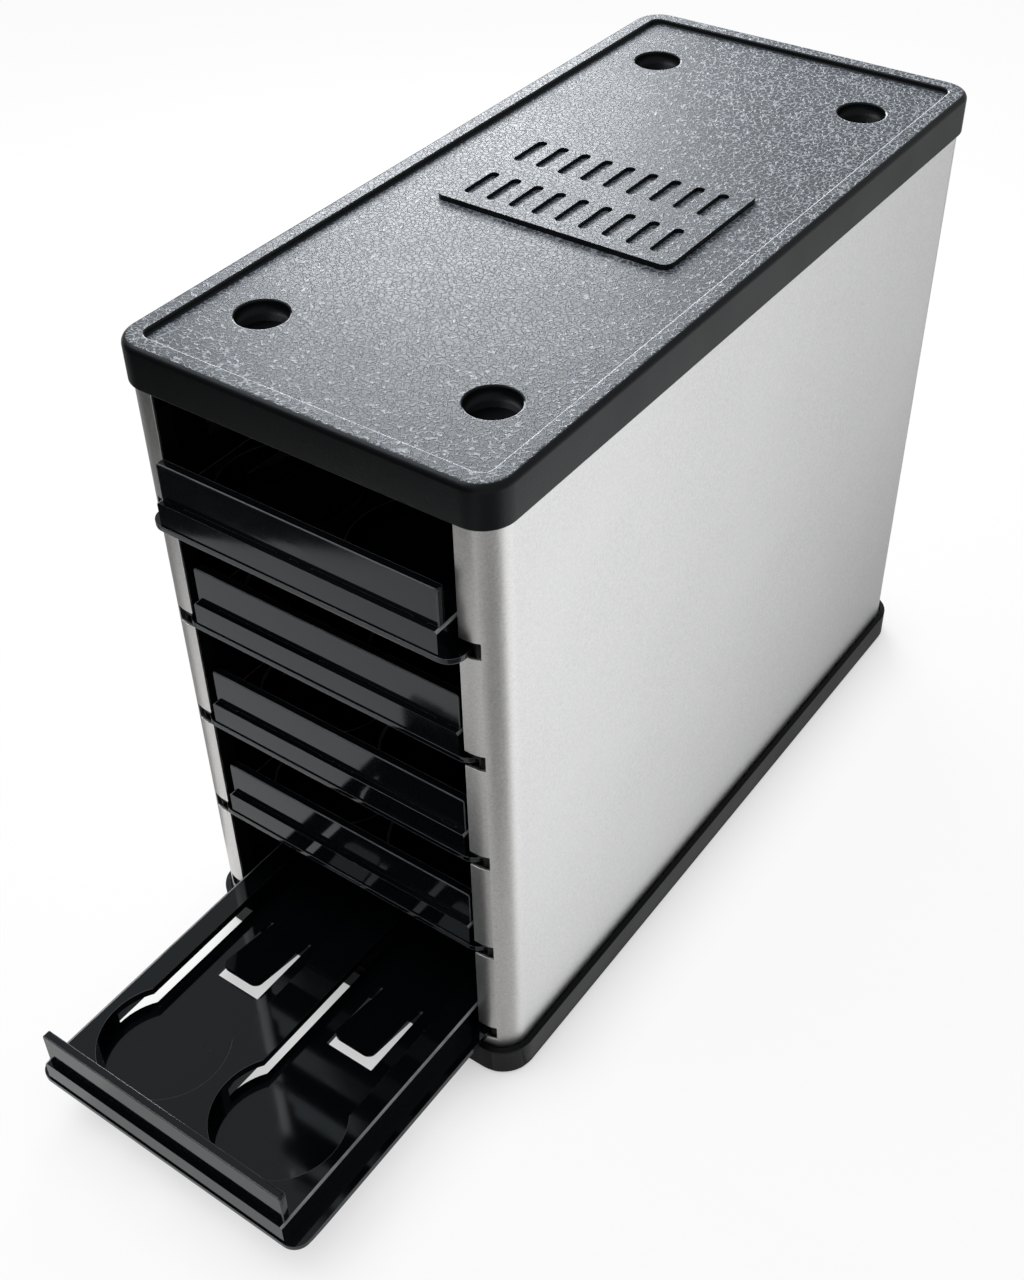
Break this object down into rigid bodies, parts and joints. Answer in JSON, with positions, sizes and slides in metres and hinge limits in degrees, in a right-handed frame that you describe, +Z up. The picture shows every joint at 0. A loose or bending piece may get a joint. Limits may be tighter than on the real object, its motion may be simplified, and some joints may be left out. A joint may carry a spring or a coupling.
{
  "type": "coffee pod drawer",
  "caption": "Tall narrow stackable cabinet of bent sheet metal with pull-out trays that hold two rows of upside-down coffee pods in keyhole channels.",
  "frame": {"origin": "centre of the foot frame's plan on the ground", "axes": "+X right along the tray fronts, +Y to the back, +Z up; the trays pull out along -Y"},
  "size_m": [0.1172, 0.3303, 0.211],
  "materials": {
    "cap_plastic": "fine leather grain",
    "base_plastic": "fine grain",
    "sheet_metal": "satin",
    "guide_plastic": "satin",
    "tray_plastic": "gloss",
    "front_plastic": "gloss",
    "screw_steel": "black oxide",
    "foot_rubber": "matt"
  },
  "bodies": {
    "case": {"top_cap": "cap_plastic", "top_badge": "cap_plastic", "body_shell": "sheet_metal", "base_plinth": "base_plastic", "guide_left": "guide_plastic", "guide_right": "guide_plastic", "cap_screw_1": "screw_steel", "cap_screw_2": "screw_steel", "cap_screw_3": "screw_steel", "cap_screw_4": "screw_steel", "base_screw_1": "screw_steel", "base_screw_2": "screw_steel", "base_screw_3": "screw_steel", "base_screw_4": "screw_steel", "foot_1": "foot_rubber", "foot_2": "foot_rubber", "foot_3": "foot_rubber", "foot_4": "foot_rubber"},
    "drawer_1": {"drawer_tray_1": "tray_plastic", "drawer_front_1": "front_plastic"},
    "drawer_2": {"drawer_tray_2": "tray_plastic", "drawer_front_2": "front_plastic"},
    "drawer_3": {"drawer_tray_3": "tray_plastic", "drawer_front_3": "front_plastic"},
    "drawer_4": {"drawer_tray_4": "tray_plastic", "drawer_front_4": "front_plastic"},
    "drawer_5": {"drawer_tray_5": "tray_plastic", "drawer_front_5": "front_plastic"}
  },
  "joints": [
    {"name": "drawer_1_slide", "type": "slide", "parent": "case", "child": "drawer_1", "axis": [0, -1, 0], "range_m": [-0.0056, 0.1444]},
    {"name": "drawer_2_slide", "type": "slide", "parent": "case", "child": "drawer_2", "axis": [0, -1, 0], "range_m": [0, 0.15]},
    {"name": "drawer_3_slide", "type": "slide", "parent": "case", "child": "drawer_3", "axis": [0, -1, 0], "range_m": [0, 0.15]},
    {"name": "drawer_4_slide", "type": "slide", "parent": "case", "child": "drawer_4", "axis": [0, -1, 0], "range_m": [0, 0.15]},
    {"name": "drawer_5_slide", "type": "slide", "parent": "case", "child": "drawer_5", "axis": [0, -1, 0], "range_m": [-0.083, 0.067]}
  ]
}
